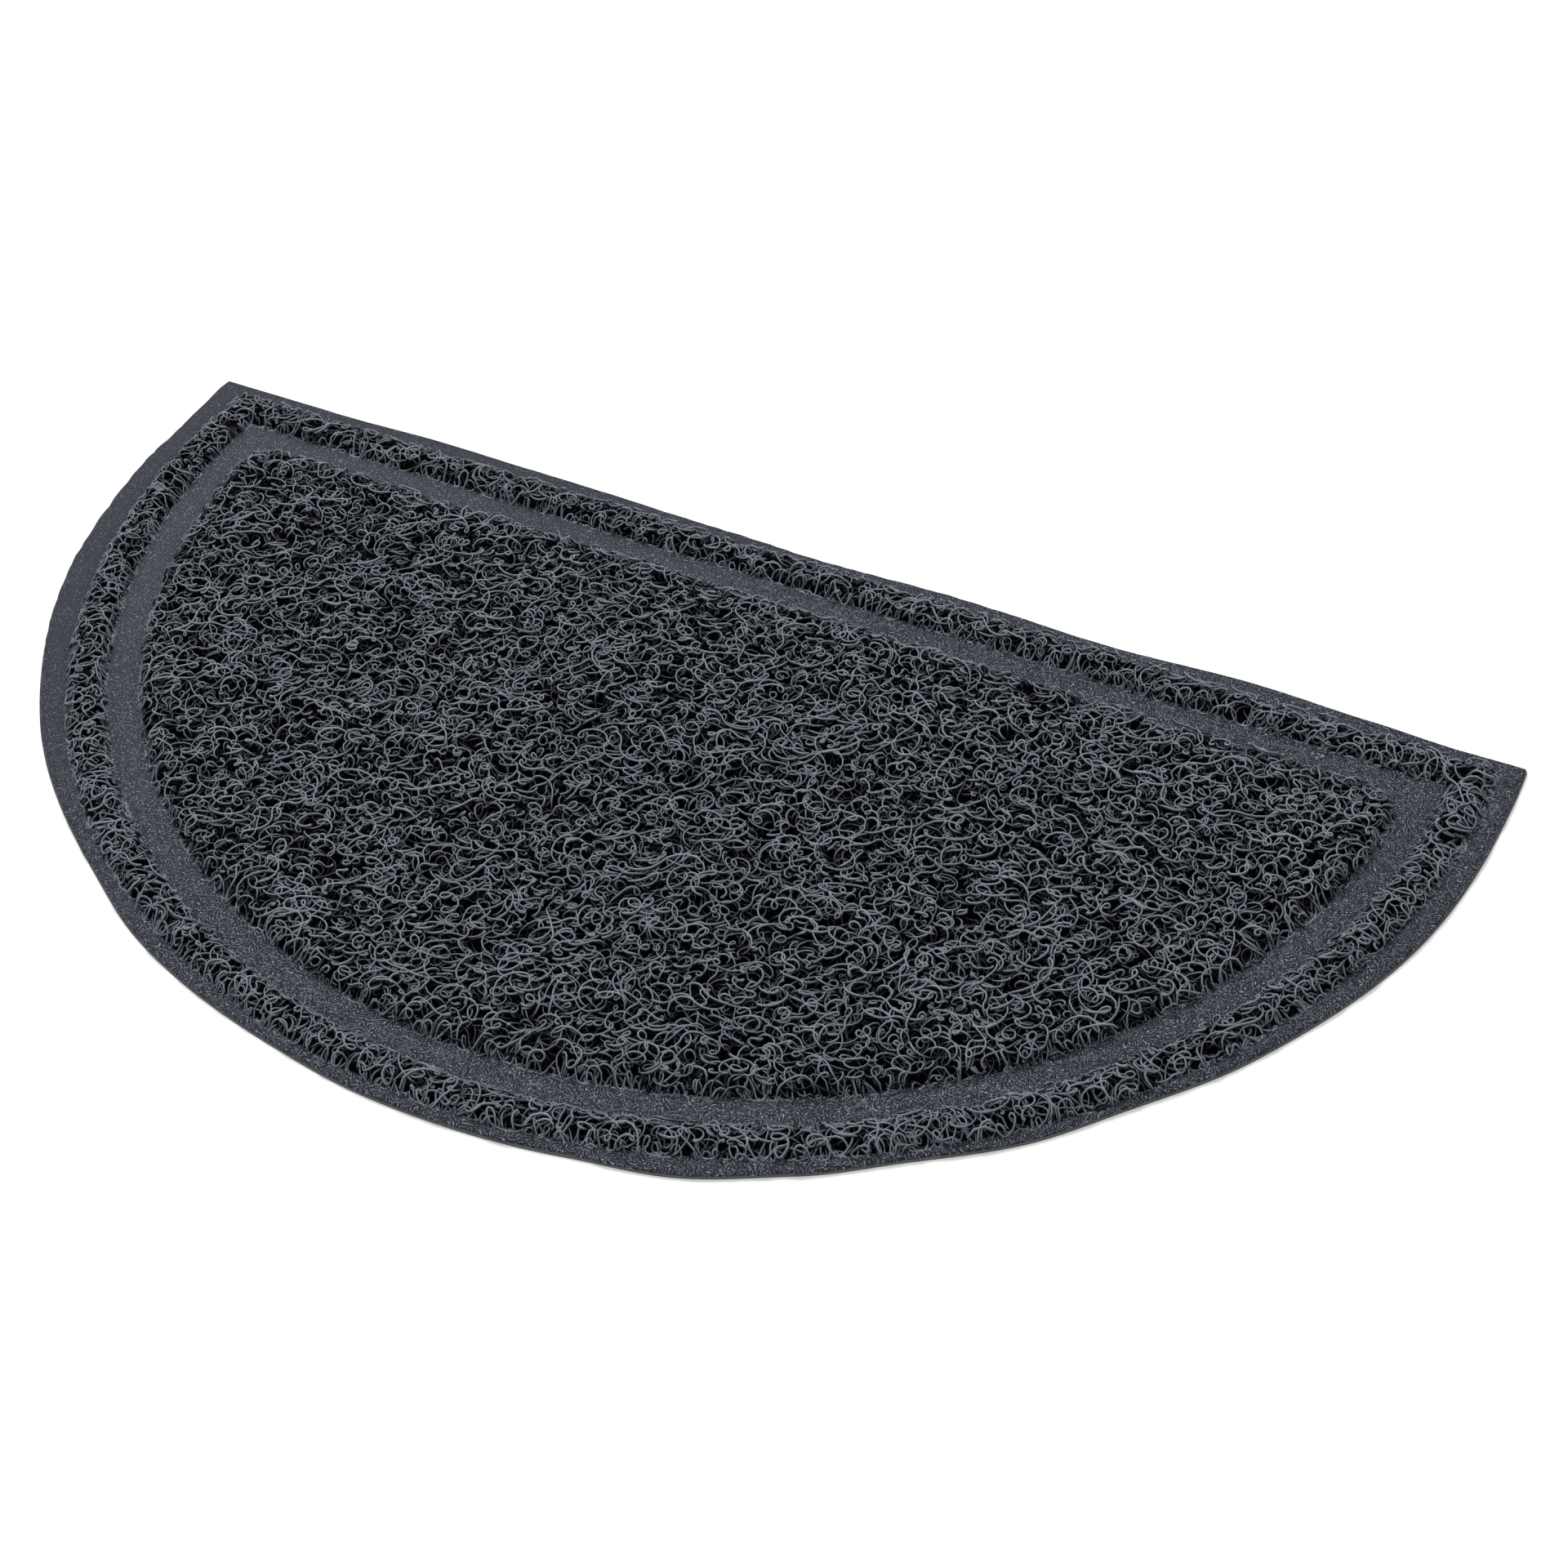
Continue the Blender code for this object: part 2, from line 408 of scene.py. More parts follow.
def in_raised(x, y, margin):
    """Whether a place lies in the border strip or the field, or within a margin of them."""
    inset = distance_in(x, y)
    border = (inset > BORDER_START - OVERLAP - margin) & (inset < GROOVE_START + OVERLAP + margin)
    return border | (field_distance_in(x, y) > FIELD_START - OVERLAP - margin)


def in_pressed(x, y, margin):
    """Whether a place lies in the rim or the groove, or within a margin of them."""
    inset = distance_in(x, y)
    rim = (cut_distance_in(x, y) > -margin) & (inset < BORDER_START + margin)
    groove = (inset > GROOVE_START - margin) & (field_distance_in(x, y) < FIELD_START + margin)
    return rim | groove


def lumps(x, y):
    """Slow rise and fall of the web's top: the mean of crossing waves 17 to 25 mm long."""
    waves = (np.sin((across * x + along * y) / MM + phase) for across, along, phase in LUMP_WAVES)
    return sum(waves) / len(LUMP_WAVES)


def strand_count(laid, area, radius, steps, step_share, spare):
    """How many strands put a length on each square metre of an area, with some to spare."""
    length = step_share * radius * STEP_TURN * steps
    return int(laid * area / length * spare)


def loop_strands(rng):
    """The open strands of the raised bands: the places, band and depth of each point.

    A strand lies at its layer's level, tilted, and dives to the film at its ends. Its depth is how
    far it lies below the web's top, as a share of the field's rise; loop_vinyl paints shade by it.
    """
    found = []
    for level, laid in LAYERS:
        count = strand_count(
            laid, RAISED_AREA, LOOP_RADIUS, STRAND_STEPS, LOOP_STEP, RAISED_SPARE,
        )
        x, y, heading = lay_evenly(
            rng, count, STRAND_STEPS, STRAND_DIVE, LOOP_RADIUS, LOOP_CARRY, CELL, in_raised,
        )
        rows = len(x)
        tilt = rng.uniform(*LOOP_TILT, (rows, 1))
        facing = heading + rng.uniform(0.0, 2.0 * math.pi, (rows, 1))
        share = level - tilt * (0.5 + 0.5 * np.sin(facing))
        share += LOOP_WAVER * smooth_noise(rng, rows, STRAND_STEPS, LOOP_WAVER_SPAN)
        share = np.clip(share, 0.0, HIGHEST_SHARE) * dive(STRAND_STEPS, STRAND_DIVE)
        ragged = rng.normal(scale=FOOT_RAGGED, size=(rows, 1))
        inset = distance_in(x, y)
        rise = web_rise(x, y, ragged)
        low = WEB_FLOOR + STRAND_RADIUS
        top = BAND_TOP + rise + LUMP_HEIGHT * lumps(x, y) * rise / FIELD_RISE
        z = low + (top - low) * share
        raised = in_raised(x, y, 0.0) & (cut_distance_in(x, y) > LOOPS_TO_CUT)
        band = np.where(raised, np.where(inset > (GROOVE_START + FIELD_START) / 2.0, 2, 1), 0)
        places = np.stack([x + OFFSET_X, y + OFFSET_Y, z], axis=2)
        found.append((places, band, (top - z) / FIELD_RISE))
    return [np.concatenate(group) for group in zip(*found)]


def pressed_strands(rng):
    """The swirls that show in the pressed bands, half sunk in the fused vinyl, as loop_strands
    gives them. Fewer are left where the press went deeper.
    """
    count = strand_count(
        PRESSED_LENGTH, PRESSED_AREA, SWIRL_RADIUS, PRESSED_STEPS, SWIRL_STEP, PRESSED_SPARE,
    )
    x, y, _ = lay_evenly(
        rng, count, PRESSED_STEPS, PRESSED_DIVE, SWIRL_RADIUS, SWIRL_CARRY, PRESSED_CELL,
        in_pressed,
    )
    sunk = PRESSED_WAVER * smooth_noise(rng, *x.shape, PRESSED_WAVER_SPAN)
    z = PRESSED_TOP - PRESSED_SUNK + sunk - PRESSED_DIP * (1.0 - dive(PRESSED_STEPS, PRESSED_DIVE))
    inset = distance_in(x, y)
    smoothed = np.clip((y - DEEP_SLOPE * x) / DEEP_RUN, 0.0, 1.0).mean(axis=1, keepdims=True)
    pressed = in_pressed(x, y, 0.0) & (cut_distance_in(x, y) > PRESSED_TO_CUT)
    pressed &= rng.uniform(size=smoothed.shape) > STRANDS_LOST * smoothed
    band = np.where(pressed, np.where(inset > GROOVE_START, 2, 1), 0)
    places = np.stack([x + OFFSET_X, y + OFFSET_Y, z], axis=2)
    return places, band, np.full(x.shape, PRESSED_DEPTH)


def new_mesh(name, verts, quads, tris, quad_uv=None, tri_uv=None, values=None, smooth=True):
    """A mesh object from arrays of places, four-sided faces and three-sided faces.

    The UV map has a place for each corner of each face, and each value one number a point.
    """
    mesh = bpy.data.meshes.new(name)
    mesh.vertices.add(len(verts))
    mesh.vertices.foreach_set("co", verts.astype(np.float32).ravel())
    corners = np.concatenate([quads.ravel(), tris.ravel()]).astype(np.int32)
    sizes = np.concatenate([np.full(len(quads), 4), np.full(len(tris), 3)])
    mesh.loops.add(len(corners))
    mesh.loops.foreach_set("vertex_index", corners)
    mesh.polygons.add(len(sizes))
    mesh.polygons.foreach_set("loop_start", (np.cumsum(sizes) - sizes).astype(np.int32))
    mesh.polygons.foreach_set("use_smooth", np.full(len(sizes), smooth))
    if quad_uv is not None:
        layer = mesh.uv_layers.new(name="OFBake")
        places = np.concatenate([quad_uv.reshape(-1, 2), tri_uv.reshape(-1, 2)])
        layer.uv.foreach_set("vector", places.astype(np.float32).ravel())
    for key, numbers in (values or {}).items():
        attribute = mesh.attributes.new(key, "FLOAT", "POINT")
        attribute.data.foreach_set("value", numbers.astype(np.float32))
    mesh.update()
    mesh.validate()
    piece = bpy.data.objects.new(name, mesh)
    bpy.context.scene.collection.objects.link(piece)
    return piece


def strand_tubes(name, places, kept, depth, tone, thickness, underside):
    """Strands as three-sided rods with a ridge on top, closed by a face at each end.

    kept says which steps of each strand belong to the piece. The section at a point is turned
    square to the strand, with its first corner upwards and the others 120 degrees to each side.
    The two lower corners read as deeper by underside, which paints shade on the rods' lower sides.
    """
    used = np.zeros(places.shape[:2], bool)
    used[:, :-1] |= kept
    used[:, 1:] |= kept
    along = np.gradient(places, axis=1)
    along /= np.linalg.norm(along, axis=2, keepdims=True)
    side = np.stack([-along[..., 1], along[..., 0], np.zeros(used.shape)], axis=2)
    side /= np.maximum(np.linalg.norm(side, axis=2, keepdims=True), 1e-6)
    upward = np.cross(along, side)
    angle = np.radians((0.0, 120.0, 240.0))
    spot, toward, aside = places[used], upward[used], side[used]
    wide = thickness[used][:, None, None]
    corners = spot[:, None] + wide * (
        toward[:, None] * np.cos(angle)[:, None] + aside[:, None] * np.sin(angle)[:, None]
    )
    number = np.cumsum(used.ravel()).reshape(used.shape) - 1
    row, column = np.nonzero(kept)
    first, second = 3 * number[row, column], 3 * number[row, column + 1]
    here = np.arange(3)
    there = (here + 1) % 3
    quads = np.stack([
        first[:, None] + here, first[:, None] + there,
        second[:, None] + there, second[:, None] + here,
    ], axis=2).reshape(-1, 4)
    padded = np.pad(kept, ((0, 0), (1, 1)))
    begins = used & ~padded[:, :-1]
    ends = used & ~padded[:, 1:]
    tris = np.concatenate([
        3 * number[begins][:, None] + np.array((0, 2, 1)),
        3 * number[ends][:, None] + np.array((0, 1, 2)),
    ])
    rows, step_count = places.shape[:2]
    lane, shelf = np.arange(rows) % UV_LANES, np.arange(rows) // UV_LANES
    height = 1.0 / (shelf[-1] + 1)
    left = (lane[row] + LANE_MARGIN + LANE_LENGTH * column / step_count) / UV_LANES
    right = left + LANE_LENGTH / step_count / UV_LANES
    low = (shelf[row][:, None] + (SHELF_MARGIN + SHELF_HEIGHT * here / 3.0)) * height
    high = low + SHELF_HEIGHT * height / 3.0
    quad_uv = np.stack([
        np.stack([np.broadcast_to(left[:, None], low.shape), low], axis=2),
        np.stack([np.broadcast_to(left[:, None], low.shape), high], axis=2),
        np.stack([np.broadcast_to(right[:, None], low.shape), high], axis=2),
        np.stack([np.broadcast_to(right[:, None], low.shape), low], axis=2),
    ], axis=2)
    cap_rows = np.concatenate([np.nonzero(begins)[0], np.nonzero(ends)[0]])
    cap_columns = np.concatenate([np.nonzero(begins)[1], np.nonzero(ends)[1]])
    cap_uv = np.stack([
        (lane[cap_rows] + LANE_MARGIN + LANE_LENGTH * cap_columns / step_count) / UV_LANES,
        (shelf[cap_rows] + 0.5) * height,
    ], axis=1)
    cap = np.array(((0.0, 0.0), (CAP_WIDTH, 0.0), (0.0, CAP_WIDTH)))
    tri_uv = cap_uv[:, None] + cap * height / 3.0
    tones = np.broadcast_to(tone, used.shape)[used]
    # The depth, with painted shade added at the two lower corners; loop_vinyl darkens by it
    below = np.tile((0.0, underside, underside), used.sum())
    values = {"depth": np.repeat(depth[used], 3) + below, "tone": np.repeat(tones, 3)}
    return new_mesh(
        name, corners.reshape(-1, 3), quads[:, ::-1], tris[:, ::-1],
        quad_uv.reshape(-1, 4, 2)[:, ::-1], tri_uv[:, ::-1], values,
    )


def ring_points(inset):
    """One closed line round the mat at a distance in from the cut edge."""
    edge = edge_point(inset, np.arange(RING_EDGE_POINTS) / RING_EDGE_POINTS)
    arc = arc_point(inset, np.arange(RING_ARC_POINTS) / RING_ARC_POINTS)
    return np.hstack([edge, arc]).T


def round_corners(line, inset):
    """A line round the mat with its two corners brought in to the field's corner radius.

    A point past the corner circle's centre both ways is moved towards it, onto the circle.
    """
    half_edge, _ = corner_of(inset + FIELD_CORNER)
    centre_y = EDGE_BEHIND_CENTRE - inset - FIELD_CORNER
    for side in (-1.0, 1.0):
        centre = np.array((PATTERN_RIGHT + side * half_edge, centre_y))
        away = line - centre
        far = np.linalg.norm(away, axis=1, keepdims=True)
        past = (side * away[:, :1] > 0.0) & (away[:, 1:] > 0.0) & (far > FIELD_CORNER)
        line = np.where(past, centre + away * FIELD_CORNER / far, line)
    return line


def add_offset(plan):
    """Plan places moved from the arc's centre to the shared frame."""
    return plan + np.array((OFFSET_X, OFFSET_Y))


def film_sheet(name, profile):
    """A closed sheet in the outline: lines carried inwards over the top, and a flat underside at 0.

    The profile gives each line's distance in, height and shade; the last meets in a middle point.
    """
    rings = [ring_points(inset) for inset, _, _ in profile]
    heights = [0.0] + [height for _, height, _ in profile]
    plan = add_offset(np.stack(rings[:1] + rings))
    count = plan.shape[1]
    tall = np.broadcast_to(np.reshape(heights, (-1, 1, 1)), plan.shape[:2] + (1,))
    hub = add_offset(np.array(HUB))
    ends = np.array(((*hub, heights[-1]), (*hub, heights[0])))
    verts = np.concatenate([np.concatenate([plan, tall], axis=2).reshape(-1, 3), ends])
    around = np.arange(count)
    after = (around + 1) % count
    level = np.arange(len(heights) - 1)[:, None] * count
    above = level + count
    quads = np.stack([level + around, above + around, above + after, level + after], axis=2)
    last = (len(heights) - 1) * count
    tris = np.concatenate([
        np.stack([last + after, last + around, np.full(count, len(verts) - 2)], axis=1),
        np.stack([around, after, np.full(count, len(verts) - 1)], axis=1),
    ])
    shades = np.repeat([0.0] + [shade for _, _, shade in profile], count)
    values = {"shade": np.concatenate([shades, (profile[-1][2], 0.0)])}
    return new_mesh(name, verts, quads.reshape(-1, 4), tris, values=values)


def pressed_band(name, profile, fray, shade):
    """A closed band: a section of distances in and heights, carried round the mat.

    The lines beside the field have its rounded corners. At each place, fray moves the whole section
    outwards.
    """
    plan = np.stack([
        round_corners(ring_points(inset), inset) if inset > FIELD_START - BAND_EASING
        else ring_points(inset) for inset, _ in profile
    ])
    outward = plan[0] / np.linalg.norm(plan[0], axis=1, keepdims=True)
    plan = add_offset(plan + fray[None, :, None] * outward[None])
    heights = np.reshape([height for _, height in profile], (-1, 1, 1))
    tall = np.broadcast_to(heights, plan.shape[:2] + (1,))
    verts = np.concatenate([plan, tall], axis=2).reshape(-1, 3)
    count = plan.shape[1]
    around = np.arange(count)
    after = (around + 1) % count
    level = np.arange(len(profile))[:, None] * count
    above = (level + count) % (len(profile) * count)
    quads = np.stack([level + around, above + around, above + after, level + after], axis=2)
    values = {"shade": np.full(len(verts), shade)}
    return new_mesh(
        name, verts, quads.reshape(-1, 4), np.zeros((0, 3), int),
        folded_map(profile, count), np.zeros((0, 3, 2)), values,
    )


def folded_map(profile, count):
    """The places of a band's faces on its map: the band cut into equal lengths, laid in rows.

    Across a row, each face is as wide as its part of the section, with little for the underside.
    """
    widths = np.linalg.norm(np.diff(np.array(profile), axis=0), axis=1)
    widths = np.append(widths, UNDERSIDE_WIDTH)
    across = LANE_MARGIN + LANE_LENGTH * np.append(0.0, np.cumsum(widths)) / widths.sum()
    turns = np.arange(count) * UV_FOLDS / count
    fold = np.floor(turns)
    left, right = turns - fold, turns - fold + UV_FOLDS / count
    low = (fold + across[:-1, None]) / UV_FOLDS
    high = (fold + across[1:, None]) / UV_FOLDS
    left, right = np.broadcast_to(left, low.shape), np.broadcast_to(right, low.shape)
    corners = ((left, low), (left, high), (right, high), (right, low))
    return np.stack([np.stack(corner, axis=2) for corner in corners], axis=2).reshape(-1, 4, 2)


class Value:
    """A shader value that can be used in Python expressions."""

    def __init__(self, bench, socket):
        self.bench = bench
        self.socket = socket

    def joined(self, operation, first, second):
        """The result of a two-part sum on the same bench."""
        made = self.bench.add("ShaderNodeMath", {"operation": operation}, {0: first, 1: second})
        return made.value()

    def __add__(self, other):
        return self.joined("ADD", self, other)

    __radd__ = __add__

    def __sub__(self, other):
        return self.joined("SUBTRACT", self, other)

    def __rsub__(self, other):
        return self.joined("SUBTRACT", other, self)

    def __mul__(self, other):
        return self.joined("MULTIPLY", self, other)


class Made:
    """A node that was just added, whose outputs are read as values."""

    def __init__(self, bench, node):
        self.bench = bench
        self.node = node

    def value(self, output=0):
        """One of the node's outputs, by its number or name."""
        return Value(self.bench, self.node.outputs[output])


class Bench:
    """A material under work: its shader, and one method that adds any node."""

    def __init__(self, name):
        self.material = bpy.data.materials.new(name)
        self.material.use_nodes = True
        self.tree = self.material.node_tree
        self.shader = self.tree.nodes["Principled BSDF"]

    def add(self, kind, settings=None, inputs=None):
        """Add a node with its settings, and feed its inputs."""
        node = self.tree.nodes.new(kind)
        for key, setting in (settings or {}).items():
            setattr(node, key, setting)
        for key, content in (inputs or {}).items():
            self.feed(node.inputs[key], content)
        return Made(self, node)

    def feed(self, socket, content):
        """Join a value to a socket, or write a constant on it."""
        if isinstance(content, Value):
            self.tree.links.new(content.socket, socket)
        else:
            socket.default_value = content

    def places(self):
        """The places on the mat, in metres."""
        return self.add("ShaderNodeTexCoord").value("Object")

    def plan_places(self):
        """The places across the mat, to the right, and along it, to the back."""
        split = self.add("ShaderNodeSeparateXYZ", None, {0: self.places()})
        return split.value("X"), split.value("Y")

    def noise(self, scale, detail=2.0, roughness=0.5):
        """Smooth noise from 0 to 1 over the places."""
        return self.add("ShaderNodeTexNoise", None, {
            "Vector": self.places(), "Scale": scale, "Detail": detail, "Roughness": roughness,
        }).value("Fac")

    def arcs(self, scale, slice_at, spacing):
        """Nested arcs an even distance apart, from 0 to 1.

        They are waves of the distance to scattered points, with the places swirled by noise.
        """
        bend = self.add("ShaderNodeTexNoise", {"noise_dimensions": "4D"}, {
            "Vector": self.places(), "W": slice_at, "Scale": 150.0, "Detail": 1.0,
        }).value("Color")
        swirled = self.add("ShaderNodeVectorMath", {"operation": "MULTIPLY_ADD"}, {
            0: bend, 1: (0.006, 0.006, 0.0), 2: self.places(),
        }).value("Vector")
        spots = self.add("ShaderNodeTexVoronoi", {"voronoi_dimensions": "2D"}, {
            "Vector": swirled, "Scale": scale,
        }).value("Distance")
        turns = spots * (2.0 * math.pi / (spacing * scale))
        return self.add("ShaderNodeMath", {"operation": "SINE"}, {0: turns}).value() * 0.5 + 0.5

    def attribute(self, name):
        """A number that the piece has at each point."""
        return self.add("ShaderNodeAttribute", {"attribute_name": name}).value("Fac")

    def eased(self, content, low, high, start=0.0, end=1.0):
        """A smooth step from start to end, as the content goes from low to high."""
        return self.add("ShaderNodeMapRange", {"interpolation_type": "SMOOTHSTEP"}, {
            "Value": content, "From Min": low, "From Max": high, "To Min": start, "To Max": end,
        }).value("Result")

    def blend(self, share, first, second):
        """A colour between two others."""
        return self.add("ShaderNodeMix", {"data_type": "RGBA"}, {
            "Factor": share, "A": first, "B": second,
        }).value("Result")

    def bump(self, height, strength, distance):
        """Fine relief, as the direction that the surface faces."""
        return self.add("ShaderNodeBump", None, {
            "Height": height, "Strength": strength, "Distance": distance,
        }).value("Normal")

    def finish(self, **sockets):
        """Feed the shader's sockets, named with underscores for spaces, and give the material."""
        for key, content in sockets.items():
            self.feed(self.shader.inputs[key.replace("_", " ")], content)
        return self.material


def colour(red, green, blue):
    """A linear colour with full alpha."""
    return (red, green, blue, 1.0)


def loop_vinyl():
    """Blue grey vinyl strands, with painted shade that darkens them the deeper they lie in the web.
    """
    bench = Bench("loop_vinyl")
    depth = bench.eased(bench.attribute("depth"), 0.0, 0.50)
    tone = bench.attribute("tone")
    lit = bench.blend(tone, colour(0.154, 0.173, 0.210), colour(0.226, 0.249, 0.288))
    # Painted shade: deep strands and the rods' lower sides go nearly black
    base = bench.blend(depth, lit, colour(0.003, 0.004, 0.008))
    rough = 0.40 + bench.noise(420.0) * 0.18
    grain = bench.bump(bench.noise(1600.0, 3.0), 0.25, 0.0002)
    return bench.finish(Base_Color=base, Roughness=rough, Normal=grain, Specular_IOR_Level=0.25)


def pressed_vinyl():
    """The same vinyl, fused flat: nested arcs of pressed loops with painted shade in the gaps, and
    a fine grain.

    Towards the left and the back the press went deeper, and the arcs are nearly smoothed out.
    Painted shade darkens the rim, and the groove a little, more so towards the left and the back.
    """
    bench = Bench("pressed_vinyl")
    patches = bench.noise(60.0, 4.0, 0.6)
    grain = bench.noise(2200.0, 3.0, 0.7)
    first = bench.arcs(130.0, 1.0, 1.15 * MM)
    second = bench.arcs(170.0, 5.0, 1.05 * MM)
    lines = first + (second - first) * bench.eased(bench.noise(430.0, 1.0), 0.47, 0.53)
    across, along = bench.plan_places()
    toward_back = along - across * DEEP_SLOPE + bench.noise(18.0) * 0.3
    deep_press_and_shade = bench.eased(toward_back, 0.10, 0.60)
    broken = bench.eased(bench.noise(980.0, 1.0), 0.32, 0.48, 0.15, 1.0)
    lines = bench.eased(lines, 0.0, 0.70) * broken
    lines = lines + (0.42 - lines) * (deep_press_and_shade * 0.7)
    dashes = bench.eased(bench.noise(1100.0, 1.0), 0.56, 0.72)
    # Painted shade: the rim darker, and the groove a little, more so towards the left and the back
    shade = bench.attribute("shade") * (0.3 + deep_press_and_shade * 0.7)
    shown = bench.blend(patches, colour(0.075, 0.088, 0.112), colour(0.098, 0.113, 0.140))
    shown = bench.blend(dashes, shown, colour(0.340, 0.368, 0.415))
    shown = bench.blend(shade, shown, colour(0.010, 0.011, 0.016))
    # Painted shade in the crevices: the gaps between the arcs go nearly black
    base = bench.blend(lines, colour(0.007, 0.009, 0.013), shown)
    rough = 0.42 + bench.noise(300.0) * 0.2
    relief = bench.bump(lines + grain * 0.4, 0.9, 0.0006)
    return bench.finish(Base_Color=base, Roughness=rough, Normal=relief, Specular_IOR_Level=0.15)


def film_vinyl():
    """The smooth film: dark where the web shades it, and a paler, rubbed grey at its cut edge."""
    bench = Bench("film_vinyl")
    dark, pale = colour(0.075, 0.075, 0.082), colour(0.135, 0.132, 0.136)
    rubbed = bench.blend(bench.noise(500.0, 3.0), dark, pale)
    base = bench.blend(bench.attribute("shade"), rubbed, colour(0.003, 0.003, 0.004))
    rough = 0.75 + bench.noise(200.0) * 0.15
    grain = bench.bump(bench.noise(900.0, 3.0), 0.2, 0.0002)
    return bench.finish(Base_Color=base, Roughness=rough, Normal=grain, Specular_IOR_Level=0.03)


def build_film():
    """The backing film, flat on the floor, with its cut edge a little rounded.

    Its shade goes from 0 to 1 just before the rim ends, as the loops start there.
    """
    return film_sheet("backing_film", (
        (0.0, FILM_TOP - 0.2 * MM, 0.0), (0.25 * MM, FILM_TOP, 0.0),
        (RIM_WIDTH - 2.0 * MM, FILM_TOP, 0.0), (RIM_WIDTH - 1.0 * MM, FILM_TOP, 1.0),
        (60.0 * MM, FILM_TOP, 1.0), (160.0 * MM, FILM_TOP, 1.0),
    ))


def build_pressed_bands(rng):
    """The two bands where the web is pressed flat and fused: the rim and the groove."""
    eased_top = BAND_TOP - BAND_EASING
    bands = []
    for name, start, end, shade in (
        ("pressed_rim", BAND_TO_CUT, BORDER_START + BAND_LAP, RIM_SHADE),
        ("pressed_groove", GROOVE_START - BAND_LAP, FIELD_START + BAND_LAP, GROOVE_SHADE),
    ):
        middle = (start + end) / 2.0
        profile = (
            (start, WEB_FLOOR), (start, eased_top), (start + BAND_EASING, BAND_TOP),
            (middle, BAND_TOP),
            (end - BAND_EASING, BAND_TOP), (end, eased_top), (end, WEB_FLOOR),
        )
        points = RING_EDGE_POINTS + RING_ARC_POINTS
        fray = BAND_FRAY * smooth_noise(rng, 1, points, FRAY_SPAN)[0]
        bands.append(pressed_band(name, profile, fray, shade))
    return bands


def strand_piece(name, strands, kept, radius, tone, underside):
    """One piece of the web, from the steps that are kept of a set of strands."""
    places, _, depth = strands
    rows = kept.any(axis=1)
    return strand_tubes(
        name, places[rows], kept[rows], depth[rows], tone[rows], radius[rows], underside,
    )


def build_strands(rng):
    """All the strands, in pieces by band and, in the field, from left to right."""
    pieces = []
    loops = loop_strands(rng)
    swirls = pressed_strands(rng)
    for strands, thickness, underside, names in (
        (swirls, PRESSED_RADIUS, 0.0, ("rim_strands", "groove_strands")),
        (loops, STRAND_RADIUS, UNDERSIDE_SHADE, ("border_loops", "field_loops")),
    ):
        places, band, depth = strands
        tone = rng.uniform(0.0, 1.0, (len(places), 1))
        wander = THICKNESS_WAVER * smooth_noise(rng, *depth.shape, THICKNESS_SPAN)
        radius = thickness * (1.0 + wander)
        radius *= coarseness(places[..., 0] - OFFSET_X, places[..., 1] - OFFSET_Y)
        for number, name in enumerate(names, start=1):
            kept = (band[:, :-1] == number) & (band[:, 1:] == number)
            parts = [(name, kept)]
            if name == "field_loops":
                step_x = places[:, :-1, 0]
                part = np.digitize(step_x, np.quantile(step_x[kept], (0.25, 0.5, 0.75)))
                sides = ("left", "mid_left", "mid_right", "right")
                parts = [(f"{name}_{side}", kept & (part == i)) for i, side in enumerate(sides)]
            for part_name, part_kept in parts:
                piece = strand_piece(part_name, strands, part_kept, radius, tone, underside)
                pieces.append(piece)
    return pieces


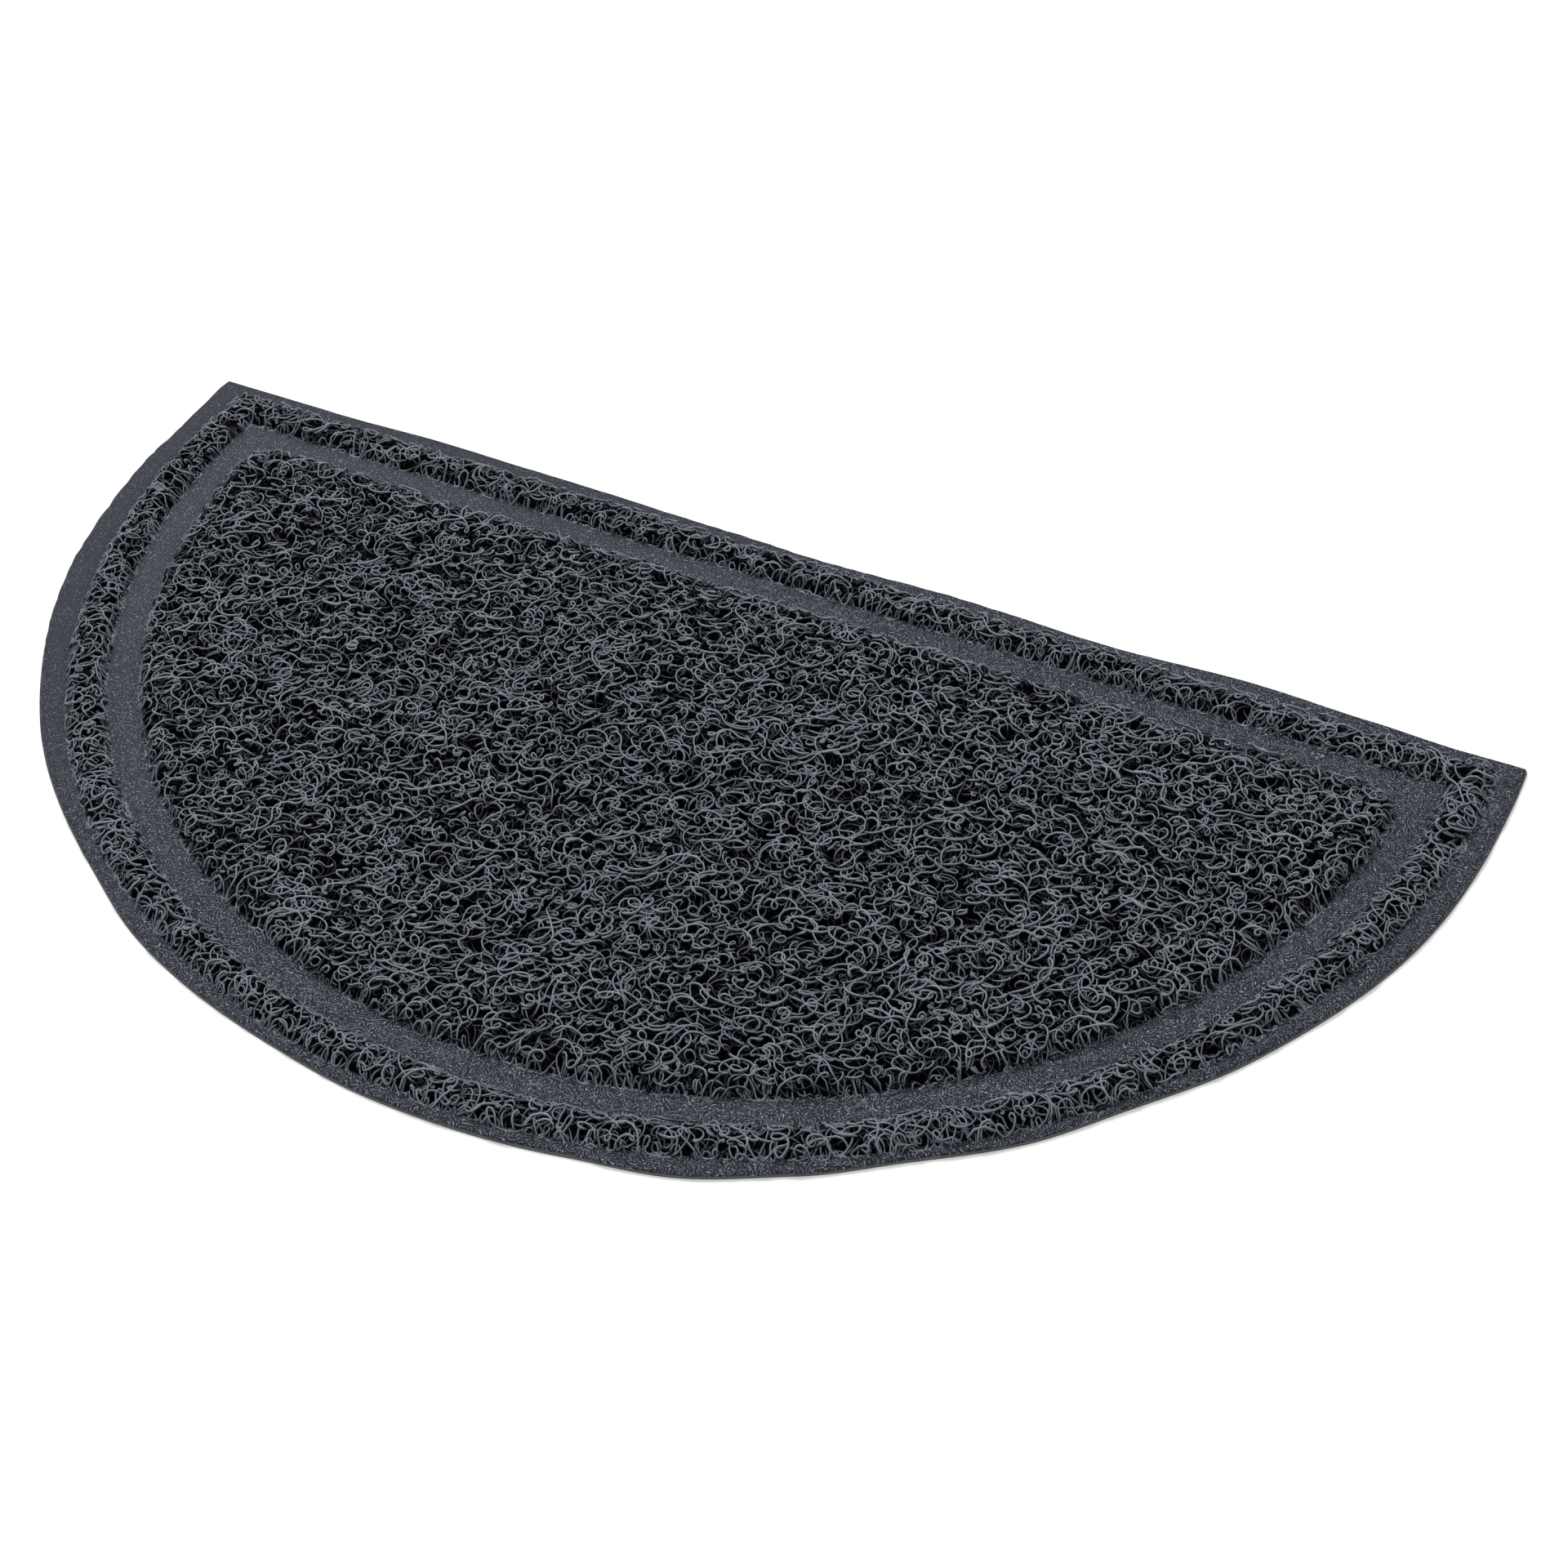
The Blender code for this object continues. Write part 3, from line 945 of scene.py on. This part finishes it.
def add_camera():
    """The photograph's view: from the front right, rather high, through a long lens."""
    azimuth, elevation, roll = (math.radians(angle) for angle in CAMERA_ANGLES)
    target_y = EDGE_BEHIND_CENTRE - TARGET_IN_FRONT + OFFSET_Y
    target = Vector((TARGET_RIGHT + OFFSET_X, target_y, 0.0))
    back = Vector((
        math.sin(azimuth) * math.cos(elevation),
        -math.cos(azimuth) * math.cos(elevation),
        math.sin(elevation),
    ))
    right = Vector((math.cos(azimuth), math.sin(azimuth), 0.0))
    upward = back.cross(right)
    right, upward = (
        right * math.cos(roll) + upward * math.sin(roll),
        upward * math.cos(roll) - right * math.sin(roll),
    )
    data = bpy.data.cameras.new("camera")
    data.lens = LENS
    data.sensor_width = SENSOR_WIDTH
    data.clip_start = NEAREST_SEEN
    camera = bpy.data.objects.new("camera", data)
    turned = Matrix((right, upward, back)).transposed().to_4x4()
    camera.matrix_world = Matrix.Translation(target + back * CAMERA_DISTANCE) @ turned
    bpy.context.scene.collection.objects.link(camera)
    bpy.context.scene.camera = camera


def add_floor():
    """A wide pale floor."""
    corners = ((-1.0, -1.0, 0.0), (1.0, -1.0, 0.0), (1.0, 1.0, 0.0), (-1.0, 1.0, 0.0))
    verts = FLOOR_HALF * np.array(corners)
    floor = new_mesh("floor", verts, np.array(((0, 1, 2, 3),)), np.zeros((0, 3), int), smooth=False)
    white = colour(FLOOR_GREY, FLOOR_GREY, FLOOR_GREY)
    floor.data.materials.append(Bench("floor_white").finish(Base_Color=white, Roughness=0.8))


def add_light(name, place, size, power):
    """A square soft light that faces the mat."""
    data = bpy.data.lights.new(name, "AREA")
    data.size = size
    data.energy = power
    lamp = bpy.data.objects.new(name, data)
    lamp.location = place
    lamp.rotation_euler = (-Vector(place)).to_track_quat("-Z", "Y").to_euler()
    bpy.context.scene.collection.objects.link(lamp)


def add_studio():
    """A white surround, with one large soft light above and behind, and one in front."""
    world = bpy.data.worlds.new("surround")
    world.use_nodes = True
    background = world.node_tree.nodes["Background"]
    background.inputs["Color"].default_value = colour(1.0, 1.0, 1.0)
    background.inputs["Strength"].default_value = SURROUND
    bpy.context.scene.world = world
    bpy.context.scene.view_settings.view_transform = "Standard"
    for softbox in SOFTBOXES:
        add_light(*softbox)


def main():
    """Build the film, the pressed bands and the strands, then the floor, lights and camera."""
    rng = np.random.default_rng(SEED)
    film = build_film()
    film.data.materials.append(film_vinyl())
    bands = build_pressed_bands(rng)
    pressed = pressed_vinyl()
    for band in bands:
        band.data.materials.append(pressed)
    strands = build_strands(rng)
    vinyl = loop_vinyl()
    for piece in strands:
        piece.data.materials.append(vinyl)
    web = [*bands, *strands]
    for piece in (film, *web):
        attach(piece, BODY)
        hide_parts("backing_sheet" if piece is film else "coil_web")
    add_floor()
    add_studio()
    add_camera()


main()
